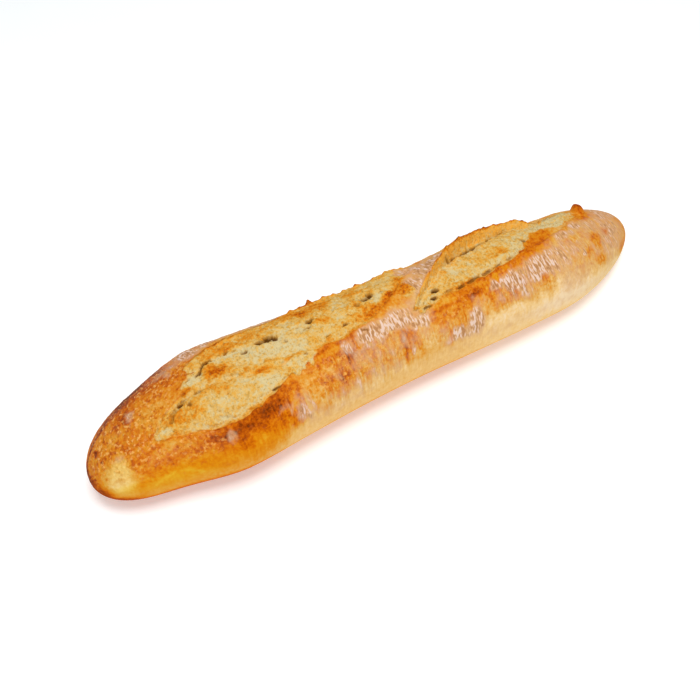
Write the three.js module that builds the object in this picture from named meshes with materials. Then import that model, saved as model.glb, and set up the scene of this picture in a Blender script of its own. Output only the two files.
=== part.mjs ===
// A short baguette (demi-baguette) that lies on its flat bottom, with three slashes along its top.
// Millimetres, +Z up. X runs along the loaf from the near tip to the far tip, +Y is its back.
// The origin is on the floor, below the middle of the loaf.
import * as THREE from 'three';

// ---- Driving dimensions, in millimetres and degrees ----

const LENGTH = 340;
const HALF = LENGTH / 2;
// Girth of the loaf at every tenth of its length, from the near tip to the far tip.
const HALF_WIDTH = [37, 31.5, 34.5, 31.5, 28.5, 27.5, 28.5, 29.5, 27.5, 24.5, 22.5];
const CROWN = [43, 44, 46.5, 48, 48.5, 48.5, 48.5, 47, 40.5, 32, 26];
const SIDE_BEND = [2, 3.5, 3, 1.5, 0, -1, -1.5, -1.5, -2, 3.5, 9.5];
const SIDE_SHIFT = -2.83;
// Each end closes in a round nose: its length, how blunt it is and how high its tip sits.
const NEAR_NOSE = { reach: 68, power: 1.8, tip: 12 };
const FAR_NOSE = { reach: 50, power: 1.9, tip: 8 };
const BELLY_LIFT = 1.5;
// The section is a squared ellipse, widest a little below its middle and flat underneath.
const WIDEST = 0.42;
const TOP_ROUNDNESS = 2.15;
const BOTTOM_ROUNDNESS = 2.4;
const FLAT_DEPTH = 1.2;

// A slash is a lens between its two ends. Angles are measured round the loaf from its crown,
// positive towards the back. front and back are how far the lips bow out from the line between
// the ends, each with its own power, and peak is where along the slash they are widest. The
// other sizes are heights: the ear that stands up along the back lip as far as earEnd, the roll
// on the front lip, the crevice under the ear, the swell of the floor and its step at the lip.
// earShares is how much of its height the ear has at even steps along the slash, and earInside is
// how far its face slopes down into the slash.
const SLASHES = [
  {
    start: -136, end: -68, startAngle: -27, endAngle: -27, peak: 0.4,
    front: 19, frontPower: 0.8, back: 25, backPower: 0.8,
    ear: 0.8, earShares: [1, 1], earInside: 1.5, earEnd: 2,
    roll: 1.8, rollWidth: 4.5, crevice: 1.2, swell: 1.5, step: 0.8, seed: 1,
  },
  {
    start: -115, end: 15, startAngle: 8, endAngle: 30, peak: 0.6,
    front: 40, frontPower: 1, back: 21, backPower: 0.25,
    ear: 3.2, earShares: [1, 1, 0.8, 0.35, 0.1, 0.4, 0.65, 0.35, 0.5, 0.85, 1.25], earInside: 4,
    earEnd: 2, roll: 1, rollWidth: 3, crevice: 0.6, swell: 1, step: 0.5, seed: 2,
  },
  {
    start: -1, end: 127, startAngle: -24, endAngle: 14, peak: 0.47,
    front: 11, frontPower: 0.6, back: 38, backPower: 0.8,
    ear: 6, earShares: [1, 1, 1.05, 1.2, 1.2, 0.75, 0.75, 0.95, 0.95, 1, 1], earInside: 2,
    earEnd: 0.8, roll: 1.4, rollWidth: 3, crevice: 1.2, swell: 0.3, step: 0.8, seed: 3,
  },
];
const END_FADE = 0.45;
const EAR_FADE = 0.12;
const ROLL_INSIDE = 0.9;
const EAR_OUTSIDE = { width: 6.5, fall: 1.4 };
const EAR_LEAN = 0.25;
const CREVICE = { offset: 2.4, inside: 1.4, outside: 1.5, fall: 2 };
const FLOOR_EDGE = { front: 1.2, back: 1.6 };
const EAR_RAG = [{ every: 3.1, share: 0.1 }, { every: 9, share: 0.14 }];
const ROLL_RAG = { every: 6, share: 0.3 };

// The far ear ends in a curled knob.
const CURL = { x: 135, angle: 25, height: 4.8, along: 3.2, across: 4, fall: 1.4 };

// Shallow lumps all over the upper crust.
const LUMP = { height: 0.5, along: 22, round: 34, clearFrom: 65, clearOver: 60 };

// ---- The net of points ----

const STATIONS = 116;
const TIP_CROWDING = 0.5;
// Points across a slash, as shares of the way from its front rail to its back rail.
const SLASH_ROWS = [0, 0.06, 0.22, 0.42, 0.62, 0.76, 0.86, 0.93];
const FRONT_ROWS = 13;
const BETWEEN_ROWS = 3;
const BACK_ROWS = 12;
const SIDE_CROWDING = 1.35;
// The two pairs of rails that the rows of points follow, where no slash spreads them.
const RAIL_HALF_GAP = 5;
const RAIL_CLEARANCE = 3;
const FRONT_RAIL = { x: [-170, -136, -68, -1, 127, 170], angle: [-27, -27, -27, -24, 14, 16] };
const BACK_RAIL = { x: [-170, -115, 15, 50, 130, 170], angle: [14, 8, 30, 48, 46, 36] };

// ---- Small functions ----

const clamp = (value) => Math.min(Math.max(value, 0), 1);
const smooth = (value) => clamp(value) ** 2 * (3 - 2 * clamp(value));
const radians = THREE.MathUtils.degToRad;
const signedPower = (value, power) => Math.sign(value) * Math.abs(value) ** power;

// A curve through evenly spaced values, at the share t of the way along.
function through(values, t) {
  const last = values.length - 1;
  const place = clamp(t) * last;
  const i = Math.min(Math.floor(place), last - 1);
  const f = place - i;
  const b = values[i];
  const c = values[i + 1];
  const a = i > 0 ? values[i - 1] : 2 * b - c;
  const d = i + 2 <= last ? values[i + 2] : 2 * c - b;
  return b + 0.5 * f * (c - a + f * (2 * a - 5 * b + 4 * c - d + f * (3 * (b - c) + d - a)));
}

// Straight lines between the given places.
function between(places, values, x) {
  const i = Math.min(Math.max(places.findIndex((place) => place > x), 1), places.length - 1);
  const last = x >= places[places.length - 1] ? places.length - 1 : i;
  const share = clamp((x - places[last - 1]) / (places[last] - places[last - 1]));
  return values[last - 1] + (values[last] - values[last - 1]) * share;
}

// A number from 0 to 1 that is always the same for the same corner.
function cornerValue(i, j) {
  const value = Math.sin(i * 127.1 + j * 311.7) * 43758.5453;
  return value - Math.floor(value);
}

// Smooth unevenness between -1 and 1, over a line or over a plane.
function uneven(x, y, seed) {
  const i = Math.floor(x);
  const j = Math.floor(y);
  const f = smooth(x - i);
  const g = smooth(y - j);
  const row = i + seed * 57.3;
  const near = cornerValue(row, j) * (1 - f) + cornerValue(row + 1, j) * f;
  const far = cornerValue(row, j + 1) * (1 - f) + cornerValue(row + 1, j + 1) * f;
  return 2 * (near * (1 - g) + far * g) - 1;
}

// A hump of height 1 that falls off in its own way on each side.
function hump(distance, width) {
  if (distance < 0) return Math.exp(-((distance / width.inside) ** 2));
  return Math.exp(-((distance / width.outside) ** width.fall));
}

// ---- The loaf without its slashes ----

const noseShape = (distance, nose) =>
  Math.sqrt(clamp(1 - (1 - clamp(distance / nose.reach)) ** nose.power));

function girthAt(x) {
  const share = (x + HALF) / LENGTH;
  const fullness = noseShape(x + HALF, NEAR_NOSE) * noseShape(HALF - x, FAR_NOSE);
  const tip = x < 0 ? NEAR_NOSE.tip : FAR_NOSE.tip;
  const top = tip + (through(CROWN, share) - tip) * fullness;
  const bottom = tip * (1 - fullness) ** BELLY_LIFT;
  return {
    fullness,
    top,
    bottom,
    halfWidth: through(HALF_WIDTH, share) * fullness,
    middle: through(SIDE_BEND, share) + SIDE_SHIFT,
    widest: bottom + WIDEST * (top - bottom),
  };
}

function sectionPoint(girth, angle) {
  const across = Math.sin(radians(angle));
  const up = Math.cos(radians(angle));
  const power = 2 / (up >= 0 ? TOP_ROUNDNESS : BOTTOM_ROUNDNESS);
  const below = girth.widest - girth.bottom + FLAT_DEPTH * girth.fullness;
  const rise = up >= 0 ? girth.top - girth.widest : below;
  return {
    y: girth.middle + girth.halfWidth * signedPower(across, power),
    z: girth.widest + rise * signedPower(up, power),
  };
}

// ---- The slashes ----

// Where the lips of a slash are at x, and how open it is there, from 0 at its ends to 1.
function lipsAt(slash, x) {
  const share = clamp((x - slash.start) / (slash.end - slash.start));
  const open = Math.sin(Math.PI * share ** (Math.log(0.5) / Math.log(slash.peak)));
  const line = slash.startAngle + (slash.endAngle - slash.startAngle) * share;
  return {
    open: x > slash.start && x < slash.end ? clamp(open) : 0,
    front: line - slash.front * clamp(open) ** slash.frontPower,
    back: line + slash.back * clamp(open) ** slash.backPower,
  };
}

// How far a slash lifts or sinks the crust, and how far its ear leans over the crevice.
function slashRelief(slash, x, angle, perDegree) {
  const lips = lipsAt(slash, x);
  if (lips.open === 0) return { lift: 0, lean: 0 };
  const strength = lips.open ** END_FADE;
  const pastFront = (angle - lips.front) * perDegree;
  const pastBack = (angle - lips.back) * perDegree;
  const share = clamp(pastFront / Math.max(pastFront - pastBack, 1e-6));
  const onFloor = smooth(pastFront / FLOOR_EDGE.front) * smooth(-pastBack / FLOOR_EDGE.back);
  const rag = EAR_RAG.reduce((sum, r, i) => sum + r.share * uneven(x / r.every, 0, slash.seed + 3 * i), 1);
  const rollRag = 1 + ROLL_RAG.share * uneven(x / ROLL_RAG.every, 0, slash.seed + 7);
  const rollWidth = { inside: ROLL_INSIDE, outside: slash.rollWidth, fall: 2 };
  const along = (x - slash.start) / (slash.end - slash.start);
  const earHeight = slash.ear * through(slash.earShares, along);
  const earWidth = { inside: slash.earInside, outside: EAR_OUTSIDE.width, fall: EAR_OUTSIDE.fall };
  const standing = earHeight * smooth((slash.earEnd - along) / EAR_FADE) * hump(pastBack, earWidth);
  const floor = onFloor * (slash.swell * Math.sin(Math.PI * share) - slash.step);
  const roll = slash.roll * rollRag * hump(-pastFront, rollWidth);
  const crevice = pastFront > 0 ? slash.crevice * hump(pastBack + CREVICE.offset, CREVICE) : 0;
  return {
    lift: strength * (floor + roll + rag * standing - crevice),
    lean: strength * EAR_LEAN * standing,
  };
}

// ---- The crust: a point at x and at an angle round the loaf ----

const ANGLE_STEP = 0.25;

function crustPoint(x, angle) {
  const girth = girthAt(x);
  const place = sectionPoint(girth, angle);
  const before = sectionPoint(girth, angle - ANGLE_STEP);
  const after = sectionPoint(girth, angle + ANGLE_STEP);
  const along = new THREE.Vector2(after.y - before.y, after.z - before.z).normalize();
  const perDegree = radians(0.5 * (girth.halfWidth + (1 - WIDEST) * (girth.top - girth.bottom)));
  const upper = smooth((LUMP.clearFrom + LUMP.clearOver - Math.abs(angle)) / LUMP.clearOver);
  let lift = upper * girth.fullness * LUMP.height * uneven(x / LUMP.along, angle / LUMP.round, 2);
  let lean = 0;
  for (const slash of SLASHES) {
    const relief = slashRelief(slash, x, angle, perDegree);
    lift += relief.lift;
    lean += relief.lean;
  }
  const fromCurl = ((x - CURL.x) / CURL.along) ** 2 + ((angle - CURL.angle) * perDegree / CURL.across) ** 2;
  lift += CURL.height * Math.exp(-(fromCurl ** CURL.fall));
  const y = place.y - along.y * lift - along.x * lean;
  const z = place.z + along.x * lift - along.y * lean;
  return new THREE.Vector3(x, y, Math.max(z, 0));
}

// ---- The rows of points that follow the lips ----

function railsAt(x, rail, slashes) {
  const line = between(rail.x, rail.angle, x);
  let front = line - RAIL_HALF_GAP;
  let back = line + RAIL_HALF_GAP;
  for (const slash of slashes) {
    const lips = lipsAt(slash, x);
    if (lips.open > 0) {
      front = Math.min(front, lips.front);
      back = Math.max(back, lips.back);
    }
  }
  return [front, back];
}

function rowAngles(x) {
  const [nearSlash, midSlash, farSlash] = SLASHES;
  const [frontLip, frontEar] = railsAt(x, FRONT_RAIL, [nearSlash, farSlash]);
  const [middleLip, backEar] = railsAt(x, BACK_RAIL, [midSlash]);
  const backLip = Math.max(middleLip, frontEar + RAIL_CLEARANCE);
  const angles = [];
  for (let i = 0; i < FRONT_ROWS; i++) {
    angles.push(frontLip - (frontLip + 180) * (1 - i / FRONT_ROWS) ** SIDE_CROWDING);
  }
  SLASH_ROWS.forEach((share) => angles.push(frontLip + (frontEar - frontLip) * share));
  for (let i = 0; i < BETWEEN_ROWS; i++) {
    angles.push(frontEar + (backLip - frontEar) * i / BETWEEN_ROWS);
  }
  SLASH_ROWS.forEach((share) => angles.push(backLip + (backEar - backLip) * share));
  for (let i = 0; i < BACK_ROWS; i++) {
    angles.push(backEar + (180 - backEar) * (i / BACK_ROWS) ** SIDE_CROWDING);
  }
  return angles;
}

function stationX(i) {
  const share = i / STATIONS;
  const crowded = (1 - Math.cos(Math.PI * share)) / 2;
  return LENGTH * (share + (crowded - share) * TIP_CROWDING) - HALF;
}

function makeLoafGeometry() {
  const rows = rowAngles(0).length;
  const points = [crustPoint(-HALF, 0)];
  for (let i = 1; i < STATIONS; i++) {
    const x = stationX(i);
    rowAngles(x).forEach((angle) => points.push(crustPoint(x, angle)));
  }
  points.push(crustPoint(HALF, 0));
  const ring = (i, j) => 1 + (i - 1) * rows + (j % rows);
  const faces = [];
  for (let j = 0; j < rows; j++) {
    faces.push(0, ring(1, j), ring(1, j + 1));
    for (let i = 1; i < STATIONS - 1; i++) {
      faces.push(ring(i, j), ring(i + 1, j + 1), ring(i, j + 1));
      faces.push(ring(i, j), ring(i + 1, j), ring(i + 1, j + 1));
    }
    faces.push(points.length - 1, ring(STATIONS - 1, j + 1), ring(STATIONS - 1, j));
  }
  const geometry = new THREE.BufferGeometry().setFromPoints(points);
  geometry.setIndex(faces);
  geometry.computeVertexNormals();
  return geometry;
}

// ---- The model ----

const crust = new THREE.MeshStandardMaterial({ color: 0xd9a052, roughness: 0.55, metalness: 0 });
const loaf = new THREE.Mesh(makeLoafGeometry(), crust);
loaf.name = 'loaf';

const baguette = new THREE.Group();
baguette.add(loaf);

export default baguette;
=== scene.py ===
"""A short baguette with three slashes, laid out as a modelling add-on and run as a script."""

import math

import bpy
import numpy as np
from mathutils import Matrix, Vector


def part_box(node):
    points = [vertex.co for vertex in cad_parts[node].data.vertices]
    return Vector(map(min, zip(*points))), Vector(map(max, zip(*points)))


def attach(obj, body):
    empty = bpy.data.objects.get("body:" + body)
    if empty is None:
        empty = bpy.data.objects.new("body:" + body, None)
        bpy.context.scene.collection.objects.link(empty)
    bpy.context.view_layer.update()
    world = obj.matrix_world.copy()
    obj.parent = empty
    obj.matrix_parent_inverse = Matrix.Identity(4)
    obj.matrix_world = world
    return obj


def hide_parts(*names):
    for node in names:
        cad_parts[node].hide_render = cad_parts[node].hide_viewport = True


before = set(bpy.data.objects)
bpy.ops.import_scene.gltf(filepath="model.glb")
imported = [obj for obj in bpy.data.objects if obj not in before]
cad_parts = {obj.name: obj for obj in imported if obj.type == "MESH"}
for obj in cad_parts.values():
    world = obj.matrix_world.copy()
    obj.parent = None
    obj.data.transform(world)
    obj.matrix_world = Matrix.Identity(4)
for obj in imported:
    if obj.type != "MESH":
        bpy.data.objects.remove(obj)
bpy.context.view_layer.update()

bl_info = {
    "name": "Baguette",
    "version": (1, 0, 0),
    "blender": (4, 5, 0),
    "location": "3D View > Sidebar > Baguette",
    "description": "Bakes a short crusty baguette with three slashes and sets it in a small studio",
    "category": "Add Mesh",
}

MM = 0.001

# ---- The form of the loaf, in millimetres and degrees, as in the solid ----

LENGTH = 340
HALF = LENGTH / 2
# Girth at every tenth of the length, from the near tip to the far tip.
HALF_WIDTH = (37, 31.5, 34.5, 31.5, 28.5, 27.5, 28.5, 29.5, 27.5, 24.5, 22.5)
CROWN = (43, 44, 46.5, 48, 48.5, 48.5, 48.5, 47, 40.5, 32, 26)
SIDE_BEND = (2, 3.5, 3, 1.5, 0, -1, -1.5, -1.5, -2, 3.5, 9.5)
SIDE_SHIFT = -2.83
NEAR_NOSE = {"reach": 68, "power": 1.8, "tip": 12}
FAR_NOSE = {"reach": 50, "power": 1.9, "tip": 8}
BELLY_LIFT = 1.5
WIDEST = 0.42
TOP_ROUNDNESS = 2.15
BOTTOM_ROUNDNESS = 2.4
FLAT_DEPTH = 1.2

# A slash is a lens between its two ends. front and back are how far its lips bow out from the
# line between the ends. ear, roll, crevice, swell and step are heights. ear_shares is how much of
# its height the ear has at even steps along the slash, ear_inside how far its face slopes down.
NEAR_SLASH = {
    "start": -136, "end": -68, "start_angle": -27, "end_angle": -27, "peak": 0.4,
    "front": 19, "front_power": 0.8, "back": 25, "back_power": 0.8,
    "ear": 0.8, "ear_shares": (1, 1), "ear_inside": 1.5, "ear_end": 2,
    "roll": 1.8, "roll_width": 4.5, "crevice": 0.6, "swell": 1.5, "step": 0.6, "seed": 1,
}
MIDDLE_SLASH = {
    "start": -115, "end": 15, "start_angle": 8, "end_angle": 30, "peak": 0.6,
    "front": 42, "front_power": 0.8, "back": 21, "back_power": 0.25,
    "ear": 3.2, "ear_shares": (1, 1, 0.8, 0.35, 0.1, 0.4, 0.65, 0.35, 0.5, 0.85, 1.25),
    "ear_inside": 4, "ear_end": 2,
    "roll": 1, "roll_width": 3, "crevice": 0.2, "swell": 1, "step": 0.4, "seed": 2,
}
FAR_SLASH = {
    "start": -1, "end": 127, "start_angle": -24, "end_angle": 14, "peak": 0.47,
    "front": 11, "front_power": 0.6, "back": 38, "back_power": 0.8,
    "ear": 6, "ear_shares": (1, 1, 1.05, 1.2, 1.2, 0.75, 0.75, 0.95, 0.95, 1, 1),
    "ear_inside": 2, "ear_end": 0.8,
    "roll": 1.5, "roll_width": 3, "crevice": 0.6, "swell": 0.4, "step": 0.8, "seed": 3,
}
SLASHES = (NEAR_SLASH, MIDDLE_SLASH, FAR_SLASH)
END_FADE = 0.45
EAR_FADE = 0.12
EAR_LEAN = 0.25

# Across a slash, in millimetres. A width is that inside, that outside and how steeply it falls.
EAR_OUTSIDE = (6.5, 1.4)
EAR_FACE_WIDTH = (3, 1, 2)
CREST_WIDTH = (0.5, 0.8, 2)
CREST_OFFSET = 0.1
CREVICE_WIDTH = (1.4, 1.5, 2)
CREVICE_OFFSET = 2.4
ROLL_INSIDE = 0.9
LIP_WIDTH = (0.6, 1.6, 2)
BRINK_OFFSET = 0.5
BRINK_WIDTH = 1.3
BEHIND_WIDTH = 3
FLOOR_EDGE_FRONT = 1.2
FLOOR_EDGE_BACK = 1.6
TORN_REACH = (1.5, 2)
# The crumb's edges at the front and back lips: how wide, and how far over the lip.
CRUMB_EDGE_FRONT = (1.1, 0.3)
CRUMB_EDGE_BACK = (0.8, 0.6)
# An ear of this height or more has its full crest and its full face, toasted and lit with painted
# light.
FULL_CREST = 2
FULL_FACE = 3

# Towards the near tip the crust blends into the torn crumb instead of ending at a lip.
SOFT_LIP_BEFORE = (-106, 12)
SOFT_LIP_STEP = 2.6
SOFT_LIP_WANDER = 1.5
SOFT_LIP_WIDTH = 3

# Ragged edges: step along the loaf, then step round it or strength.
EAR_RAG = ((3.1, 0.06), (9, 0.14))
ROLL_RAG = (6, 0.3)
FRONT_TEAR = (4.3, 4)
BACK_TEAR = (5, 4)
BACK_TEAR_SHARE = 0.5
KNOB_ACROSS = 0.9
KNOB_FALL = 1.3

CURL = {"x": 135, "angle": 25, "height": 4.8, "along": 3.3, "across": 4, "fall": 2}
LUMP = {"height": 0.5, "along": 22, "round": 34, "seed": 2}

# The least that is divided by, and the fewest millimetres to a degree, at the tips.
LEAST_STEP = 1e-9
LEAST_WIDTH = 1e-6
LEAST_PER_DEGREE = 0.05

# ---- The fine relief: sizes in millimetres, angles in degrees, and seeds ----

# A soft change is a pair: where it starts, or ends if it falls, and over what span.
# The relief ends above the bottom, and the wall, with its full grain and shine, above that.
# Both fade at the tips, where the loaf has less than that share of its girth.
RELIEF_DOWN_TO = (125, 60)
RELIEF_FULLNESS = 0.35
WALL_DOWN_TO = (84, 26)
WALL_FULLNESS = 0.3
# Spots run in streaks on the sides: so many degrees from the crown line, and from so far along.
SIDE_CROWN = -6
SIDE_ROUND = (14, 16)
SIDE_ALONG = (-118, 20)

# Streaks and pleats that run round the loaf.
SIDE_STREAKS = {
    "step": 2.1, "bend": 0.6, "bend_along": 9, "bend_round": 9, "run": 13, "seed": 11,
}
STREAK_WANDER = 6
RIDGES = {"step": 2.3, "bend": 0.7, "bend_along": 7, "bend_round": 8, "run": 12, "seed": 21}
RIDGE_SLANT = 0.12
RIDGE_SHIFT = 16
RIDGE_CONTRAST = 1.3
TOP_PLEATS = 0.3

# How the edges of spots, lines and holes wander: strength, size and seed of each wave.
SPOT_WANDER_X = ((1.4, 6, 5), (0.9, 2.2, 6))
SPOT_WANDER_ANGLE = ((3.2, 6, 8), (1.8, 2.2, 9))
LINE_WANDER_ANGLE = ((1.2, 3, 10),)
HOLE_WANDER_X = ((0.7, 1.6, 15),)
HOLE_WANDER_ANGLE = ((1.3, 1.6, 16),)

# How spots fade: SOFT_SPOT, FIRM_SPOT and LINE_EDGE are powers of the distance.
SPOT_DEPTH = 0.6
SOFT_SPOT = 1.5
FIRM_SPOT = 2
FIRM_EDGE = (1.6, 0.2)
LINE_EDGE = 3
HOLE_EDGE = (1.5, 0.9)
CRACK_EDGE = 1.5
# Depth in millimetres at which a hole's painted shade is full.
FULL_HOLLOW_SHADE = 2.4

# Blisters: each dome is least to least + more high, by its own number to a power.
BLISTER_KINDS = (
    {"size": 2.3, "shift": 0, "seed": 3, "radius": 0.62, "least": 0.35, "more": 0.9, "power": 2},
    {"size": 1.5, "shift": 9, "seed": 4, "radius": 0.6, "least": 0.15, "more": 0.5, "power": 1},
)
BLISTER_LEVEL = 0.4

# The crumb: size along the loaf, size round it and seed.
CRUMB_LUMPS = (6.5, 4.6, 33)
CRUMB_CRAGS = (2.4, 1.8, 36)
CRAG_BEND = 0.5
CRUMB_PORES = (2.0, 1.7, 34)
PORE_EDGE = (0.45, 0.3)
PORE_SHARE = (0.5, 0.3)

# ---- The net of points: stations along the loaf and rows round it ----

STATIONS = 534
TIP_CROWDING = 0.5
FRONT_ROWS = 52
SLASH_ROWS = 46
BETWEEN_ROWS = 10
BACK_ROWS = 32
ROWS = FRONT_ROWS + BETWEEN_ROWS + BACK_ROWS + 2 * SLASH_ROWS
LIP_CROWDING = 0.08
SIDE_CROWDING = 1.35
RAIL_HALF_GAP = 5
RAIL_CLEARANCE = 3
FRONT_RAIL = ((-170, -136, -68, -1, 127, 170), (-27, -27, -27, -24, 14, 16))
BACK_RAIL = ((-170, -115, 15, 50, 130, 170), (14, 8, 30, 48, 46, 36))
ANGLE_STEP = 0.25
# Millimetres to a degree round the loaf, for patterns that follow the crust.
ROUND = 0.55

# ---- What the oven did everywhere: bake from 0 for pale to 1 for dark brown ----

# Bake at the crown, and its changes down the side: how much, from what angle, over what span.
# The last change darkens the crust towards the floor: partly bake of the bottom, partly painted
# shade.
PLAIN_BAKE = (0.52, ((-0.16, 48, 20), (-0.16, 66, 16), (0.32, 100, 26)))
NEAR_BAKE = (0.61, ((-0.03, 60, 12), (-0.1, 80, 10), (0.26, 96, 14)))
NEAR_END = (-74, 32)
FAR_END = (90, 20)
FAR_END_PALER = 0.05
BROWNED_SIDE = {"bake": 0.1, "round": (54, 10), "along": (46, 30)}
STREAK_BAKE = 0.1
STREAKED_DOWN_TO = (96, 24)
CREST_BAKE = 0.84
LIP_BAKE = 0.74
LIP_SHARE = 0.5
BEHIND_PALER = 0.12

# Bake of the torn crumb: plain, then what its lumps and its crags add.
PLAIN_TOAST = (0.3, 0.26, 0.2)
SPOT_TOAST = (0.16, 0.12)
FACE_TOAST = 0.6
FACE_SHARE = 0.5
BRINK_TOAST = 0.7
BRINK_SHARE = 0.6

LEAST_FLOUR = 0.05
RIDGE_FLOUR = 0.9
FLOUR_TO_LIP = 1.2

# ---- What the oven did, placed one by one: x, angle, half length, half width, how strong ----

# Bake of the crust, from 0 for pale to 1 for dark brown.
BAKED = (
    # near tip
    (-169, -20, 4.5, 80, 0.62), (-169.6, -20, 1.4, 90, 0.94), (-158, -56, 5.5, 24, 0.18),
    # on the next line, the spots at angles -106 and -90 are partly bake, partly painted shade near
    # the floor
    (-156, -34, 4, 9, 0.3), (-160, -106, 8, 11, 0.84), (-168, -90, 4, 20, 0.88),
    (-147, -20, 6, 9, 0.68), (-145, -38, 5, 6, 0.74), (-146, 15, 4, 9, 0.8),
    (-163, 9, 1.1, 6, 0.98), (-161, -12, 0.9, 4, 0.92), (-155, -8, 3, 4, 0.68),
    # the next three spots, at the back of the near end, are partly bake, partly painted shade away
    # from the light
    (-140, 33, 24, 7, 0.84), (-136, 44, 20, 7, 0.92), (-142, 57, 20, 9, 0.86),
    (-128, 20, 8, 8, 0.72), (-113, 16, 7, 6, 0.76), (-106, 20, 4, 5, 0.8), (-117, 2, 4, 3, 0.72),
    (-126, -4, 5, 4, 0.7), (-133, -2, 5, 5, 0.52), (-138, -12, 4, 6, 0.5), (-132, -41, 8, 3.5, 0.5),
    (-136, -55, 14, 6, 0.64), (-138, -79, 13, 6, 0.47), (-112, -76, 14, 7, 0.6),
    # below the near slash
    (-118, -52, 8, 5, 0.68), (-104, -52, 9, 4.5, 0.88), (-93, -51, 9, 4.5, 0.86),
    (-83, -49, 6, 5.5, 0.84), (-76, -42, 5, 5, 0.72), (-88, -63, 8, 6, 0.72),
    (-81, -69, 9, 11, 0.74), (-96, -82, 14, 10, 0.58), (-100, -66, 12, 6, 0.72),
    (-72, -57, 1.6, 10, 0.74), (-76, -68, 1.3, 8, 0.66),
    # front side of the middle
    (-66, -34, 7, 5, 0.6), (-54, -34, 10, 8, 0.64), (-36, -31, 1.1, 9, 0.84),
    (-41, -36, 3.2, 9, 0.82), (-47, -57, 3.6, 9, 0.84), (-42, -52, 2.4, 8, 0.68),
    (-48, -67, 6, 5, 0.6), (-55, -56, 4, 8, 0.62), (-33, -46, 3, 6, 0.7), (-10, -45, 5, 8, 0.76),
    (-13, -60, 1.3, 12, 0.82), (-8, -53, 2.6, 7, 0.74), (-27, -52, 5, 8, 0.58),
    (-35, -62, 3, 10, 0.6), (-60, -72, 3, 10, 0.52), (2, -50, 3.5, 26, 0.38),
    # side below the far slash
    (20, -43, 14, 8, 0.6), (10, -46, 4, 8, 0.66), (24, -42, 8, 5, 0.66), (14, -66, 1.6, 12, 0.66),
    (21, -65, 1.8, 10, 0.62), (42, -38, 4, 7, 0.7), (48, -52, 3.5, 10, 0.68),
    (55, -48, 2.2, 9, 0.68), (34, -54, 5, 8, 0.5), (77, -50, 2.2, 13, 0.66), (82, -54, 2, 10, 0.56),
    (66, -56, 4, 9, 0.5), (100, -30, 14, 22, 0.47), (88, -64, 10, 16, 0.24),
    # far end
    (104, -16, 4, 5, 0.62), (115, -40, 3, 5, 0.66), (125, -28, 5, 9, 0.64), (139, -24, 3, 5, 0.74),
    (122, -56, 4, 8, 0.6), (150, -70, 6, 14, 0.62), (158, -78, 4, 14, 0.72),
    (150, 18, 16, 26, 0.56), (130, 10, 8, 6, 0.64), (163, -30, 5, 60, 0.56),
    (88, -82, 22, 12, 0.02), (50, -70, 16, 7, 0.14),
    # back side
    (-90, 78, 14, 9, 0.7), (-40, 70, 10, 8, 0.66), (-20, 88, 6, 9, 0.6), (30, 82, 14, 8, 0.64),
    (72, 74, 12, 10, 0.68), (104, 66, 8, 9, 0.6), (-120, 66, 10, 9, 0.72), (135, 62, 7, 9, 0.58),
)

# The same for the torn crumb.
TOASTED = (
    # near floor
    (-127, -26, 7, 9, 0.6), (-121, -22, 8, 8, 0.58), (-118, -34, 12, 6, 0.46),
    (-96, -26, 18, 12, 0.24), (-84, -28, 8, 7, 0.06), (-96, -39, 16, 3, 0.1),
    (-134, -28, 4.5, 5, 0.04), (-108, -12, 7, 4, 0.56), (-101, -14, 4, 4, 0.5),
    (-112, -43, 16, 2, 0.3),
    # bridge between the near and the middle slash
    (-112, 2, 5.5, 3, 0.02), (-100, 2, 6.5, 4.5, 0.84), (-102, 0, 3, 2, 0.95), (-94, -1, 3, 3, 0.7),
    (-88, -11, 4, 2.5, 0.62), (-82, -16, 5, 3, 0.74), (-118, -3, 6, 2, 0.7), (-126, -3, 5, 3, 0.72),
    # middle floor and the face of its ear
    (-97, 20, 8, 7, 0.66), (-87, 22, 8, 6, 0.6), (-77, 21, 6, 7, 0.56), (-68, 22, 5, 5, 0.4),
    (-76, -2, 13, 9, 0.02), (-66, -12, 7, 9, 0.1), (-90, 8, 8, 3, 0.12), (-58, 20, 4, 8, 0.36),
    (-49, 27, 6, 11, 0.78), (-43, 31, 3, 8, 0.56), (-38, 28, 4.5, 11, 0.8), (-62, 36, 8, 5, 0.62),
    (-45, 4, 4.5, 3.5, 0.66), (-55, -4, 8, 6, 0.3), (-43, 14, 5, 6, 0.3), (-60, 10, 8, 6, 0.2),
    (-62, -16, 6, 6, 0.14), (-30, 12, 5, 12, 0.28), (-24, 16, 2, 12, 0.52), (-20, 28, 5, 11, 0.54),
    (-12, 30, 5, 8, 0.42), (-4, 24, 8, 12, 0.3), (-10, 6, 8, 4, 0.14), (-25, -9, 5, 5, 0.7),
    (-17, -6, 8, 4, 0.82), (-9, -3, 6, 4, 0.84), (-6, 2, 3, 3, 0.95), (1, 6, 4, 7, 0.92),
    (3, 16, 3, 6, 0.74), (-2, -2, 5, 3, 0.8),
    # far floor and the face of its ear
    (50, 26, 18, 5, 0.42), (80, 27, 20, 5, 0.32), (40, 6, 14, 10, 0.3), (62, -2, 4, 3, 0.68),
    (55, -5, 8, 3, 0.5), (70, 18, 10, 6, 0.36), (66, -9, 14, 3, 0.02), (80, 0, 7, 3.5, 0.02),
    (52, 3, 8, 4, 0.42), (90, 16, 12, 7, 0.2), (112, 16, 14, 9, 0), (112, 28, 14, 12, 0.05),
    (26, -12, 8, 5, 0.34), (8, -26, 5, 4, 0.12), (26, -24, 7, 4, 0.72), (36, -22, 8, 2.5, 0.74),
    (123, 9, 5, 5, 0.74), (16, -5, 4, 6, 0.4),
)

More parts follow.
